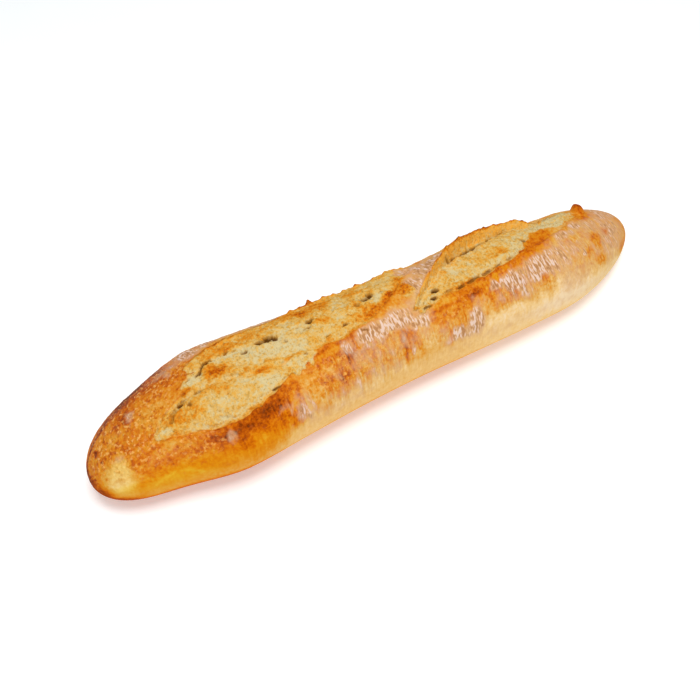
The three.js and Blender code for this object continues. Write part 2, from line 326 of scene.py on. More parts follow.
# Lines of darker bake on the crust: points, half width and bake.
BAKED_LINES = (
    (((26, -31), (37, -30), (58, -25), (74, -17), (87, -4), (96, 7)), 3.8, 0.64),
    (((34, -24), (50, -20), (66, -14), (74, -9)), 0.8, 0.82),
    (((78, -12), (86, -3), (94, 6)), 3, 0.7),
    (((-112, -51), (-104, -53), (-92, -53), (-82, -50)), 4, 0.86),
    (((-145, -80), (-140, -75), (-136, -74), (-129, -77), (-124, -86)), 0.8, 0.4),
    (((7, -36), (20, -34.5), (34, -33)), 1.4, 0.72),
    (((32, -34), (37, -33)), 1.8, 0.82),
    (((44, -31), (47, -34)), 1.4, 0.76),
    (((-62, -27), (-54, -24), (-44, -23.5), (-36, -25)), 1, 0.76),
    # the next two lines darken the upper outline of the near end: partly bake, partly painted shade
    (((-143, 42), (-138, 43), (-131, 47), (-123, 49)), 2.2, 1),
    (((-167, 30), (-158, 33), (-150, 38), (-143, 44)), 2.2, 0.96),
    (((-114, -47), (-108, -48.5), (-96, -46.5), (-84, -42), (-78, -38)), 1.6, 0.82),
    (((-109, 9), (-105, 15), (-99, 24), (-92, 27.5)), 1.1, 0.96),
)

# Crust of a deep, clear orange, where the dough took the most steam.
RICH = (
    (-132, -76, 30, 17, 1), (-98, -72, 20, 14, 0.95), (-80, -64, 9, 10, 0.9),
    (-169, 0, 4.5, 120, 1), (-104, -51, 20, 6, 0.8), (-150, -30, 22, 40, 0.45),
    (-130, 30, 26, 16, 0.5), (30, -30, 24, 8, 0.6), (58, -25, 18, 8, 0.9), (76, -14, 10, 9, 0.8),
    (90, 0, 11, 10, 0.6), (-46, -56, 5, 8, 0.6), (-52, -28, 18, 6, 0.4),
)

# Flour that dusts the crust.
FLOURED = (
    # the spots at (-143, 10) here and (-108, -57) below are painted highlights, set down as flour
    (-143, 10, 2, 5.5, 0.62), (-155, -24, 3, 5, 0.42), (-150, 2, 3, 3, 0.3),
    (-108, -57, 2.2, 5, 0.55), (-118, 32, 8, 6, 0.5), (-105, 34, 9, 9, 0.72), (-120, 22, 2, 4, 0.5),
    (-80, -56, 5, 5, 0.45), (-70, -68, 5, 16, 0.6), (-64, -76, 3, 10, 0.5), (-68, 46, 14, 8, 0.95),
    (-88, 44, 14, 9, 0.6), (-40, -31, 4, 7, 0.62), (-30, -28, 4, 7, 1), (-31, -40, 4, 4, 0.6),
    (-20, -29, 9, 10, 0.9), (-9, -27, 7, 12, 0.85), (0, -37, 7, 7, 0.75), (-24, -50, 30, 12, 0.43),
    (-36, -70, 26, 9, 0.44), (-36, -44, 8, 8, 0.42), (-9, -60, 1.4, 6, 0.6), (0, -20, 6, 10, 0.5),
    (10, 0, 8, 12, 0.74), (19, 14, 8, 12, 0.85), (24, 12, 2.5, 7, 1), (28, 20, 2.5, 6, 0.9),
    (12, 28, 14, 12, 0.6), (8, -10, 5, 8, 0.62), (30, 36, 8, 10, 0.5), (20, -50, 12, 6, 0.16),
    (22, -69, 12, 9, 0.78), (30, -60, 5, 12, 0.8), (10, -60, 5, 12, 0.4), (34, -44, 4, 8, 0.4),
    (50, -34, 7, 5, 0.95), (60, -36, 11, 9, 1), (72, -34, 7, 11, 1), (66, -40, 9, 8, 0.95),
    (84, -37, 6, 10, 0.8), (68, -31, 10, 5, 0.8), (58, -50, 16, 10, 0.52), (80, -26, 5, 6, 1),
    (87, -19, 3, 4, 0.8), (104, -6, 8, 5, 0.6), (95, -28, 12, 20, 0.56), (96, -60, 18, 20, 0.46),
    (118, 0, 5, 5, 0.85), (112, -6, 3, 4, 0.66), (110, -18, 1.4, 6, 0.85), (110, -38, 1.7, 5, 0.85),
    (131, -29, 1.3, 7, 0.85), (106, -22, 14, 16, 0.42), (130, 0, 9, 9, 0.5),
    (138, -30, 26, 44, 0.53), (150, 16, 18, 30, 0.56), (-106, 44, 14, 10, 0.6),
    (-30, 60, 34, 12, 0.5), (70, 56, 30, 12, 0.5), (60, -84, 70, 10, 0.3), (-56, -84, 24, 8, 0.4),
    (0, 100, 120, 14, 0.4),
)

# Places where the crust is bare of flour.
BARE = (
    (125, -28, 4.5, 9, 0.9), (114, -38, 2, 4, 0.7), (123, -58, 4, 7, 0.8), (139, -23, 2.5, 4, 0.5),
    (110, -14, 2.5, 4, 0.7), (81, -58, 3, 8, 0.8), (133, 20, 7, 14, 1),
)

# Torn crumb that spreads past the lips, and crust that covers it again.
TORN = (
    (-97, 0, 17, 8, 1), (-80, -12, 9, 7, 1), (-108, 2, 9, 5, 0.95), (-70, -26, 7, 6, 0.9),
    (-133, -27, 5, 7, 0.9), (-64, -22, 8, 5, 0.9), (2, 0, 4, 8, 0.8), (5, -27, 4, 4, 0.8),
    (116, 27, 12, 8, 1),
)
COVERED = (
    (-118, 12, 5, 6, 1), (14, 14, 7, 10, 0.9), (11, 30, 6, 10, 0.7), (-128, 6, 5, 5, 1),
    (76, -13, 6, 5, 1), (84, -5, 7, 7, 1), (91, 2, 7, 9, 1), (97, 5, 6, 9, 1), (106, 1, 9, 9, 1),
    (118, 4, 10, 7, 1),
)

# Holes in the torn crumb, with their depth: each is sunk and darkened with painted shade.
HOLES = (
    (-122, -11, 1.3, 1.9, 3), (-118, -15, 1, 2.4, 1.6), (-84, 6, 1.4, 1.8, 3),
    (-92, 13, 1.4, 1.3, 1.4), (-95.5, 13.5, 0.9, 1.2, 1.2), (-88, 12.5, 0.8, 1, 1),
    (-52, 3.5, 1.8, 1.2, 1.6), (-49, 9, 2, 1.8, 2.4), (-35, -9, 1.4, 1.3, 2),
    (-46, -13, 0.9, 1.4, 1), (-64.5, 0, 0.9, 1.4, 1.2), (-18, 9, 2.6, 2.2, 2.4),
    (-15, 12, 1.6, 2.6, 2.6), (-24, 5, 1.6, 2.6, 1.2), (-9, 10, 1.6, 1.2, 1),
    (15.5, -13.5, 1.9, 2.2, 2.6), (12.5, -21, 1.6, 1.6, 2.2), (7, -27.5, 2.4, 1.3, 1.6),
    (22, -20, 2.4, 1.3, 1), (29, -21.5, 2.2, 1.7, 1.8), (38, -19.5, 2.6, 1.1, 1),
    (79.5, 3.5, 1.5, 2.6, 2.4), (49, 18.5, 2, 2.4, 3), (66, 25, 2.4, 2.2, 2.4),
    (74, 27.5, 2.4, 2, 2.2), (33, 13.5, 1.4, 1.4, 1.4), (48, 1, 0.9, 1.2, 0.8),
    (-80, -36, 1.8, 1, 1.6), (-108, -31, 0.9, 1.4, 0.8), (-112, -7.5, 2.2, 1.1, 1.2),
    (-120, -8.5, 1.4, 1, 1.2), (-101, -21, 1.1, 1, 0.8), (-114, 3.5, 1.3, 0.9, 1),
    (-60, -19, 1.4, 1, 1), (-56, 8, 1.1, 1.2, 1), (14, 17, 0.8, 1.2, 0.8), (10, 26, 0.8, 1.2, 0.8),
)

# Cracks: points, half width and depth in millimetres; each is sunk and darkened with painted shade.
CRACKS = (
    (((-109, 3.5), (-107, 6), (-104.5, 9.5), (-100, 12)), 0.5, 2),
    (((-77, 9), (-75.5, 7), (-71.5, 6.5)), 0.8, 2.8), (((-72, 10.5), (-69, 8), (-68, 5)), 0.8, 2.8),
    (((-129, -22), (-127.5, -17), (-125, -12)), 0.7, 1), (((36, 14), (44, 17)), 0.6, 1.6),
    (((45, 18), (52, 18.5)), 1.1, 2.8), (((54, 18.8), (62, 20)), 0.8, 2),
    (((63, 22), (70, 25.5)), 1, 2), (((72, 27), (78, 28.5)), 0.9, 1.6),
    (((34, -20), (41, -18.5)), 0.7, 1.6), (((44, -18), (49, -17)), 0.7, 1.4),
    (((52, -16), (56, -15)), 0.6, 1.2), (((61, -13.5), (65, -12)), 0.5, 1),
    (((-30, -22), (-27, -23.5)), 0.6, 1.2),
)

# Knobs along the crest of an ear: slash, x, radius and height.
KNOBS = (
    (1, -98, 1.1, 0.7), (1, -88, 1.2, 0.6), (1, -52, 1.2, 0.9), (1, -46.5, 0.9, 0.7),
    (1, -41, 1.3, 1.9), (1, -33, 1.2, 0.8), (1, -27, 1, 0.7), (1, -21, 1, 0.6), (1, -14, 0.9, 0.8),
    (1, -3, 1, 0.9), (1, 4, 1.1, 1.5), (1, 9, 1, 1.3), (1, 12.5, 1, 0.9), (2, 17, 0.9, 0.6),
    (2, 24, 0.9, 0.8), (2, 29, 1, 1), (2, 35, 1.1, 1.2), (2, 40, 1.1, 1), (2, 46, 1.2, 0.9),
    (2, 55, 1.1, 0.5), (2, 62, 1, 0.5), (2, 66, 1, 0.8), (2, 73, 1, 0.5), (2, 84, 1, 0.5),
    (2, 92, 1.1, 0.8), (2, 103, 1.1, 1.1), (2, 113, 1.1, 1.1), (2, 120, 1, 0.7),
)

# Pleats in the skin of the dough, that run round the loaf.
PLEATED = (
    (-40, -34, 14, 14, 0.8), (-18, -30, 14, 14, 1), (-70, -66, 10, 16, 0.8),
    (-20, -58, 26, 16, 0.8), (20, -62, 14, 14, 0.9), (62, -42, 20, 18, 1), (-50, -60, 16, 14, 0.8),
    (104, -20, 16, 20, 0.6), (136, -20, 22, 40, 0.5), (20, 12, 12, 18, 0.7),
    (-100, 44, 20, 14, 0.6), (0, 70, 130, 22, 0.6), (-80, -56, 6, 8, 0.6),
    (-10, -76, 130, 14, 0.25), (-42, -74, 40, 13, 0.7),
)

# Blisters that a hot, moist oven raises on the crust.
BLISTERED = (
    (-148, 0, 22, 44, 1), (-125, 26, 16, 20, 1), (-134, -46, 18, 8, 0.8), (-120, -58, 12, 8, 0.6),
    (-40, -48, 26, 16, 0.75), (20, -44, 16, 10, 0.6), (60, -40, 100, 30, 0.25),
    (0, 70, 170, 30, 0.4),
)

# ---- The finish of the bread ----

# What the finish reads at each point.
ATTRIBUTES = (
    "bake", "rich", "toast", "crumb", "ear", "flour", "hollow", "blister", "pleat", "wall",
)

# Patterns: size along, across and up in millimetres, then detail, roughness and offset.
PATTERNS = {
    "broad": ((8, 8, 8), 3.0, 0.55),
    "patches": ((3.4, 3.4, 3.4), 3.0, 0.55, 5.0),
    "fine": ((1.5, 1.5, 1.5), 3.0, 0.6, 4.0),
    "grain": ((0.9, 1.5, 1.5), 2.0, 0.5, 9.0),
    "wrinkles": ((1.3, 9, 9), 1.0, 0.5, 7.0),
    "marks": ((1.0, 3.2, 3.2), 1.0, 0.5, 3.0),
    "highlight_flecks": ((1.9, 1.9, 1.9), 2.0, 0.6, 13.0),
}
DOME_SIZES = (1.5, 1.5, 1.5)
CRUST_WEIGHTS = {"broad": 0.25, "patches": 0.45, "fine": 0.55}
CRUMB_WEIGHTS = {"broad": 0.35, "patches": 0.55, "fine": 1.25}
# How far the bake spreads at the bottom, on the wall as well, and in the streaks of the pleats.
SPREAD = {"bottom": 0.4, "wall": 0.6, "plain": 0.06, "wrinkles": 0.55, "marks": 0.4}

# The colour that each bake has.
CRUST_STOPS = {
    "crust_palest": 0.0, "crust_pale": 0.2, "crust_gold": 0.4, "crust_orange": 0.56,
    "crust_amber": 0.7, "crust_brown": 0.84, "crust_dark": 1.0,
}
CRUMB_STOPS = {
    "crumb_pale": 0.02, "crumb_cream": 0.27, "crumb_gold": 0.46, "crumb_toast": 0.68,
    "crust_amber": 0.86, "crust_brown": 1.0,
}

# Between which values each layer comes in, how strongly it shows and how frayed its edge is.
RANGE = {
    "painted_highlights": (0.53, 0.68), "scorch": (0.57, 0.7), "painted_face_light": (0.2, 0.9), "toasted": (0.56, 0.76),
    "shade": (0.54, 0.72), "torn": (0.3, 0.7), "floured": (0.36, 0.7), "film": (0.1, 0.7),
    "crease_shade": (0.44, 0.34), "dust_and_sheen": (0.58, 0.67), "hollow": (0.08, 0.6), "deep_hollow_shade": (0.55, 1.0),
}
STRENGTH = {
    "painted_highlights": 0.8, "scorch": 0.65, "painted_face_light": 0.7, "shade": 0.5, "film": 0.8, "crease_shade": 0.6,
    "dust_and_sheen": 0.7, "hollow": 0.75, "deep_hollow_shade": 0.9, "gloss": 0.6,
}
FRAYED = {"scorch": 0.5, "toasted": 0.5, "shade": 0.4, "torn": 0.9}
# How far the blister domes draw the painted highlights to their tops.
DOME_PAINTED_HIGHLIGHTS = 0.25
PAINTED_FACE_LIGHT_PATCHES = 1.8
FILM_PATCHES = 0.6
# How far flour and pleats widen the painted crease shade and the flour and painted sheen between.
CREASE_SHADE_BY = {"flour": 0.03, "pleat": 0.03}
DUST_AND_SHEEN_BY = {"flour": 0.06, "pleat": 0.05}

CRUST_ROUGHNESS = 0.6
CRUMB_ROUGHER = 0.2
DUST_AND_SHEEN_ROUGHER = 0.15
CRUST_BUMP = {
    "domes": 0.8, "fine": 0.6, "patches": 0.4, "wrinkles": 0.8, "bottom": 0.3, "wall": 0.7,
}
CRUMB_BUMP = {"fine": 1.2, "grain": 0.6}
BREAD_SHINE = {"IOR": 1.2, "Specular IOR Level": 0.05, "Coat Roughness": 0.2, "Coat IOR": 1.5}
BUMP = {"Strength": 0.8, "Distance": 0.001}

# ---- The studio, in metres ----

FLOOR_SIZE = 6
FLOOR_GRAIN = ((40, 40, 40), 1.0)
FLOOR_SHINE = {"Roughness": 0.9, "Emission Color": (1, 1, 1, 1), "Emission Strength": 0.27}
OVERHEAD_LIGHT = {"place": (-0.02, -0.12, 1.1), "size": 0.6}
FRONT_LIGHT = {"place": (-0.5, -1.2, 0.7), "size": 0.9}
# What the camera looks at: how far to the right of the middle and ahead of it.
LOOKS_AT = (-0.0236, 0.0004)
SENSOR_WIDTH = 36
NEAREST_SEEN = 0.01
FARTHEST_SEEN = 20


# ---- Small functions ----


def smooth(value):
    share = np.clip(value, 0, 1)
    return share * share * (3 - 2 * share)


def rise(value, start, over):
    """0 up to the start, then a soft rise to 1."""
    return smooth((value - start) / over)


def fall(value, end, over):
    """1 at first, then a soft fall to 0 at the end."""
    return smooth((end - value) / over)


def toward(value, goal, share):
    return value + (goal - value) * share


def signed_power(value, power):
    return np.sign(value) * np.abs(value) ** power


def through(values, t):
    """A curve through evenly spaced values, at the share t of the way along."""
    values = np.asarray(values, float)
    last = len(values) - 1
    place = np.clip(t, 0, 1) * last
    i = np.minimum(place.astype(int), last - 1)
    f = place - i
    b = values[i]
    c = values[i + 1]
    a = np.where(i > 0, values[np.maximum(i - 1, 0)], 2 * b - c)
    d = np.where(i + 2 <= last, values[np.minimum(i + 2, last)], 2 * c - b)
    return b + 0.5 * f * (c - a + f * (2 * a - 5 * b + 4 * c - d + f * (3 * (b - c) + d - a)))


def corner_value(i, j):
    """A number from 0 to 1 that is always the same for the same corner."""
    value = np.sin(i * 127.1 + j * 311.7) * 43758.5453
    return value - np.floor(value)


def uneven(x, y, seed):
    """Smooth unevenness between -1 and 1."""
    i = np.floor(x)
    j = np.floor(y)
    f = smooth(x - i)
    g = smooth(y - j)
    row = i + seed * 57.3
    near = corner_value(row, j) * (1 - f) + corner_value(row + 1, j) * f
    far = corner_value(row, j + 1) * (1 - f) + corner_value(row + 1, j + 1) * f
    return 2 * (near * (1 - g) + far * g) - 1


def rough(x, y, seed, octaves=3):
    """Unevenness at several sizes at once, each half as large and half as strong."""
    total = 0
    for octave in range(octaves):
        total = total + uneven(x * 2**octave, y * 2**octave, seed + 11 * octave) / 2**octave
    return total / (2 - 0.5 ** (octaves - 1))


def wander(start, x, around, waves, octaves=3):
    """The start, moved to and fro by waves of a given strength, size and seed."""
    for strength, size, seed in waves:
        start = start + strength * rough(x / size, around / size, seed, octaves)
    return start


def streaks(across, x, around, made):
    """Unevenness drawn out round the loaf, in streaks that bend a little."""
    bend = rough(x / made["bend_along"], around / made["bend_round"], made["seed"])
    across = across / made["step"] + made["bend"] * bend
    return rough(across, around / made["run"], made["seed"] + 1, 2)


def cells(x, y, seed):
    """Distance to the nearest of scattered points, one to a cell, and that point's own number."""
    i = np.floor(x)
    j = np.floor(y)
    nearest = np.full(np.shape(x), 9.0)
    number = np.zeros(np.shape(x))
    for di in (-1, 0, 1):
        for dj in (-1, 0, 1):
            px = i + di + corner_value(i + di + seed, j + dj)
            py = j + dj + corner_value(i + di + seed + 19.7, j + dj + 7.3)
            distance = np.hypot(px - x, py - y)
            closer = distance < nearest
            nearest = np.where(closer, distance, nearest)
            number = np.where(closer, corner_value(i + di + seed + 3.1, j + dj + 41.9), number)
    return nearest, number


def hump(distance, width):
    """A hump of height 1 that falls off in its own way on each side."""
    inside, outside, steepness = width
    before = np.exp(-((distance / inside) ** 2))
    after = np.exp(-((np.abs(distance) / outside) ** steepness))
    return np.where(distance < 0, before, after)


def spots(places, x, angle, edge=SOFT_SPOT):
    """For each placed spot, how far every point lies in it, and the spot's value."""
    for place_x, place_angle, along, across, value in places:
        away = ((x - place_x) / along) ** 2 + ((angle - place_angle) / across) ** 2
        yield np.exp(-SPOT_DEPTH * away**edge), value


def firm_spots(places, x, angle):
    """The same for spots with a firm edge, with the value taken in."""
    for share, value in spots(places, x, angle, FIRM_SPOT):
        yield smooth(FIRM_EDGE[0] * share - FIRM_EDGE[1]) * value


def strongest(places, x, angle):
    """The highest value that any of the placed spots gives to each point."""
    top = np.zeros_like(x)
    for share, value in spots(places, x, angle):
        top = np.maximum(top, share * value)
    return top


def line_share(points, half_width, x, angle):
    """1 on the line through the points, falling to 0 past its half width."""
    nearest = np.full(np.shape(x), 999.0)
    for (from_x, from_angle), (to_x, to_angle) in zip(points, points[1:]):
        run = to_x - from_x
        climb = (to_angle - from_angle) * ROUND
        off_x = x - from_x
        off_y = (angle - from_angle) * ROUND
        share = np.clip((off_x * run + off_y * climb) / (run * run + climb * climb), 0, 1)
        nearest = np.minimum(nearest, np.hypot(off_x - share * run, off_y - share * climb))
    return np.exp(-SPOT_DEPTH * (nearest / half_width) ** LINE_EDGE)


# ---- The loaf without its slashes ----


def nose_shape(distance, nose):
    left = 1 - np.clip(distance / nose["reach"], 0, 1)
    return np.sqrt(np.clip(1 - left ** nose["power"], 0, 1))


def girth_at(x):
    share = (x + HALF) / LENGTH
    fullness = nose_shape(x + HALF, NEAR_NOSE) * nose_shape(HALF - x, FAR_NOSE)
    tip = np.where(x < 0, NEAR_NOSE["tip"], FAR_NOSE["tip"])
    top = tip + (through(CROWN, share) - tip) * fullness
    bottom = tip * (1 - fullness) ** BELLY_LIFT
    half_width = through(HALF_WIDTH, share) * fullness
    return {
        "fullness": fullness,
        "top": top,
        "bottom": bottom,
        "half_width": half_width,
        "middle": through(SIDE_BEND, share) + SIDE_SHIFT,
        "widest": bottom + WIDEST * (top - bottom),
        "per_degree": np.radians(0.5 * (half_width + (1 - WIDEST) * (top - bottom))),
    }


def section_point(girth, angle):
    across = np.sin(np.radians(angle))
    up = np.cos(np.radians(angle))
    power = 2 / np.where(up >= 0, TOP_ROUNDNESS, BOTTOM_ROUNDNESS)
    below = girth["widest"] - girth["bottom"] + FLAT_DEPTH * girth["fullness"]
    height = np.where(up >= 0, girth["top"] - girth["widest"], below)
    y = girth["middle"] + girth["half_width"] * signed_power(across, power)
    return y, girth["widest"] + height * signed_power(up, power)


def pushed_out(girth, angle, lift, lean):
    """Places on the skin, lifted square off it and leaned along it towards the front."""
    y, z = section_point(girth, angle)
    y_before, z_before = section_point(girth, angle - ANGLE_STEP)
    y_after, z_after = section_point(girth, angle + ANGLE_STEP)
    step = np.maximum(np.hypot(y_after - y_before, z_after - z_before), LEAST_STEP)
    along_y = (y_after - y_before) / step
    along_z = (z_after - z_before) / step
    y = y - along_z * lift - along_y * lean
    z = z + along_y * lift - along_z * lean
    return y, np.maximum(z, 0)


# ---- The slashes ----


def lips_at(slash, x):
    """How open a slash is at x, and the angles of its front and back lips."""
    share = np.clip((x - slash["start"]) / (slash["end"] - slash["start"]), 0, 1)
    open_share = np.sin(np.pi * share ** (math.log(0.5) / math.log(slash["peak"])))
    open_share = np.clip(open_share, 0, 1)
    line = slash["start_angle"] + (slash["end_angle"] - slash["start_angle"]) * share
    within = (x > slash["start"]) & (x < slash["end"])
    return (
        np.where(within, open_share, 0),
        line - slash["front"] * open_share ** slash["front_power"],
        line + slash["back"] * open_share ** slash["back_power"],
    )


def ear_height_at(slash, x):
    along = (x - slash["start"]) / (slash["end"] - slash["start"])
    shown = smooth((slash["ear_end"] - along) / EAR_FADE)
    return slash["ear"] * through(slash["ear_shares"], along) * shown


def knobs_at(slash, x, past_back, relief):
    """Height of the knobs along the crest of one slash's ear."""
    knobs = np.zeros_like(x)
    for owner, knob_x, radius, height in KNOBS:
        if SLASHES[owner] is slash:
            away = ((x - knob_x) / radius) ** 2 + (past_back / (KNOB_ACROSS * radius)) ** 2
            knobs = np.maximum(knobs, height * relief.knob_share * np.exp(-(away**KNOB_FALL)))
    return knobs


def slash_height(slash, x, past_front, past_back, standing):
    """Height of a slash's ragged ear, swollen crumb and rolled lip, less the crevice."""
    seed = slash["seed"]
    rag = 1 + sum(
        strength * uneven(x / step, 0 * x, seed + 3 * i)
        for i, (step, strength) in enumerate(EAR_RAG)
    )
    roll_rag = 1 + ROLL_RAG[1] * uneven(x / ROLL_RAG[0], 0 * x, seed + 7)
    share = np.clip(past_front / np.maximum(past_front - past_back, LEAST_WIDTH), 0, 1)
    on_floor = smooth(past_front / FLOOR_EDGE_FRONT) * smooth(-past_back / FLOOR_EDGE_BACK)
    floor = on_floor * (slash["swell"] * np.sin(np.pi * share) - slash["step"])
    roll = slash["roll"] * roll_rag * hump(-past_front, (ROLL_INSIDE, slash["roll_width"], 2))
    crevice = np.where(past_front > 0, hump(past_back + CREVICE_OFFSET, CREVICE_WIDTH), 0)
    return rag * standing + floor + roll - slash["crevice"] * crevice


def torn_share(slash, x, around, past_front, past_back):
    """How far each point is torn crumb, with a softer front edge towards the near tip."""
    soft = fall(x, *SOFT_LIP_BEFORE)
    edge = rough(x / SOFT_LIP_STEP, around / SOFT_LIP_STEP, slash["seed"] + 50)
    blend = past_front + soft * (SOFT_LIP_WANDER * edge - 1)
    front = smooth(blend / (CRUMB_EDGE_FRONT[0] + SOFT_LIP_WIDTH * soft) + CRUMB_EDGE_FRONT[1])
    return front * smooth(-past_back / CRUMB_EDGE_BACK[0] + CRUMB_EDGE_BACK[1])


def slash_fields(slash, x, angle, girth, relief):
    """Everything about one slash at every point: lift, lean, crumb, crest, lip and so on."""
    open_share, front, back = lips_at(slash, x)
    strength = open_share**END_FADE
    per_degree = np.maximum(girth["per_degree"], LEAST_PER_DEGREE)
    around = angle * ROUND
    tear = relief.lip_tear / MM
    front_tear = rough(x / FRONT_TEAR[0], around / FRONT_TEAR[1], slash["seed"] + 20)
    back_tear = rough(x / BACK_TEAR[0], around / BACK_TEAR[1], slash["seed"] + 30)
    past_front = (angle - front) * per_degree + tear * front_tear
    past_back = (angle - back) * per_degree + BACK_TEAR_SHARE * tear * back_tear
    inside = (open_share > 0) & (past_front > -TORN_REACH[0]) & (past_back < TORN_REACH[1])
    behind = (open_share > 0) & (past_back > 0)

    ear = ear_height_at(slash, x)
    standing = ear * hump(past_back, (slash["ear_inside"], *EAR_OUTSIDE))
    knobs = knobs_at(slash, x, past_back, relief)
    height = slash_height(slash, x, past_front, past_back, standing) + knobs
    crest = hump(past_back + CREST_OFFSET, CREST_WIDTH) * np.minimum(ear, FULL_CREST) / FULL_CREST
    face = strength * hump(past_back, EAR_FACE_WIDTH) * np.minimum(ear, FULL_FACE) / FULL_FACE
    brink = strength * np.exp(-(((past_front - BRINK_OFFSET) / BRINK_WIDTH) ** 2))
    return {
        "lift": strength * height,
        "lean": strength * EAR_LEAN * standing,
        "crumb": np.where(inside, torn_share(slash, x, around, past_front, past_back), 0),
        "ear_face": np.where(inside, face, 0),
        "crest": strength * np.clip(crest + knobs, 0, 1),
        "lip": strength * hump(-past_front, LIP_WIDTH),
        "brink": np.where(inside, brink, 0),
        "behind": np.where(behind, np.exp(-((past_back / BEHIND_WIDTH) ** 2)), 0),
    }


def all_slashes(x, angle, girth, relief):
    """Lift and lean of the three slashes together, and the strongest of what else they make."""
    made = [slash_fields(slash, x, angle, girth, relief) for slash in SLASHES]
    together = {}
    for name in made[0]:
        values = [fields[name] for fields in made]
        together[name] = sum(values) if name in ("lift", "lean") else np.maximum.reduce(values)
    return together


# ---- The surface ----


def torn_crumb(crumb, warp_x, warp_angle):
    """The crumb of the slashes, with what spreads past their lips and without what is covered."""
    for share in firm_spots(TORN, warp_x, warp_angle):
        crumb = np.maximum(crumb, share)
    for share in firm_spots(COVERED, warp_x, warp_angle):
        crumb = crumb * (1 - share)
    return crumb


def openings(x, angle):
    """For each hole and crack, how far every point lies in it, and its depth."""
    for hole_x, hole_angle, along, across, deep in HOLES:
        away = np.hypot((x - hole_x) / along, (angle - hole_angle) / across)
        yield fall(away, *HOLE_EDGE), deep
    for points, half_width, deep in CRACKS:
        yield smooth(CRACK_EDGE * line_share(points, half_width, x, angle)), deep


def hollow_shade_and_depth(x, angle, around):
    """How much painted shade each point gets from the holes and cracks, and how deep it lies."""
    near_x = wander(x, x, around, HOLE_WANDER_X, 2)
    near_angle = wander(angle, x, around, HOLE_WANDER_ANGLE, 2)
    hollow = np.zeros_like(x)
    depth = np.zeros_like(x)
    for inside, deep in openings(near_x, near_angle):
        hollow = np.maximum(hollow, inside * min(deep / FULL_HOLLOW_SHADE, 1))
        depth = np.maximum(depth, inside * deep)
    return hollow, depth


def blister_domes(x, around):
    """How far up a blister each point lies, with large and small blisters added."""
    domes = 0
    for kind in BLISTER_KINDS:
        size = kind["size"]
        distance, number = cells(x / size + kind["shift"], around / size, kind["seed"])
        dome = np.clip(1 - (distance / kind["radius"]) ** 2, 0, 1)
        domes = domes + dome * (kind["least"] + kind["more"] * number ** kind["power"])
    return domes


def crumb_relief(x, around):
    """The crumb's soft torn lumps, small crags and pores."""
    along, across, seed = CRUMB_LUMPS
    lumps = rough(x / along, around / across, seed, 2)
    along, across, seed = CRUMB_CRAGS
    crags = rough(x / along + CRAG_BEND * lumps, around / across, seed, 2)
    along, across, seed = CRUMB_PORES
    distance, number = cells(x / along, around / across, seed)
    return lumps, crags, fall(distance, *PORE_EDGE) * rise(number, *PORE_SHARE)


def curl_at(x, angle, girth):
    """The curl of crust at the far end of the last ear."""
    away = ((x - CURL["x"]) / CURL["along"]) ** 2
    away = away + ((angle - CURL["angle"]) * girth["per_degree"] / CURL["across"]) ** 2
    return np.exp(-(away ** CURL["fall"]))


def make_fields(x, angle, relief):
    """The place of every point, how baked, floured or torn it is, and its painted shade in holes.
    """
    girth = girth_at(x)
    around = angle * ROUND
    away = np.abs(angle)
    upper = fall(away, *RELIEF_DOWN_TO) * rise(girth["fullness"], 0, RELIEF_FULLNESS)
    wall = fall(away, *WALL_DOWN_TO) * rise(girth["fullness"], 0, WALL_FULLNESS)
    slashes = all_slashes(x, angle, girth, relief)
    curl = curl_at(x, angle, girth)

    # spots have wandering edges, and on the sides their edges run in streaks round the loaf
    side = rise(np.abs(angle - SIDE_CROWN), *SIDE_ROUND) * rise(x, *SIDE_ALONG)
    streak = streaks(x, x, around, SIDE_STREAKS)
    warp_x = wander(x, x, around, SPOT_WANDER_X)
    warp_angle = wander(angle, x, around, SPOT_WANDER_ANGLE) + side * STREAK_WANDER * streak
    line_angle = wander(angle, x, around, LINE_WANDER_ANGLE)

    crumb = torn_crumb(slashes["crumb"], warp_x, warp_angle)
    crust = 1 - crumb
    hollow, depth = hollow_shade_and_depth(x, angle, around)
    blister = strongest(BLISTERED, x, angle)
    pleat = strongest(PLEATED, x, angle)
    ridges = streaks(x + RIDGE_SLANT * (around + RIDGE_SHIFT), x, around, RIDGES)
    ridges = np.clip(0.5 + RIDGE_CONTRAST * ridges, 0, 1)
    lumps, crags, pores = crumb_relief(x, around)

    lift = LUMP["height"] * uneven(x / LUMP["along"], angle / LUMP["round"], LUMP["seed"])
    lift = upper * girth["fullness"] * lift + slashes["lift"] + CURL["height"] * curl
    domes = blister_domes(x, around) - BLISTER_LEVEL
    lift = lift + upper * crust * relief.blister_height / MM * blister * domes
    lift = lift + upper * crust * relief.pleat_height / MM * pleat * (ridges - 0.5)
    lift = lift + crumb * relief.lump_height / MM * lumps
    lift = lift + crumb * relief.crag_height / MM * crags
    lift = lift - crumb * relief.pore_depth / MM * pores
    lift = lift - relief.hole_depth * depth * smooth(crumb * 2 + 0.5)

    y, z = pushed_out(girth, angle, lift, slashes["lean"])
    bake = plain_bake(warp_x, away, side * streak)
    return {
        "x": x,
        "y": y,
        "z": z,
        "crumb": crumb,
        "bake": bake_field(bake, x, line_angle, warp_x, warp_angle, slashes, curl),
        "rich": crust * strongest(RICH, warp_x, warp_angle),
        "toast": toast_field(warp_x, warp_angle, slashes, lumps, crags),
        "flour": flour_field(warp_x, warp_angle, ridges, pleat, crust),
        "blister": blister * wall,
        "pleat": pleat * np.clip(side + TOP_PLEATS, 0, 1),
        # the faces of the ears, for their painted light
        "ear": slashes["ear_face"],
        "wall": wall,
        "hollow": hollow,
    }


def down_the_side(away, profile):
    """A value at the crown, and its changes down the side."""
    value, changes = profile
    for change, start, over in changes:
        value = value + change * rise(away, start, over)
    return value


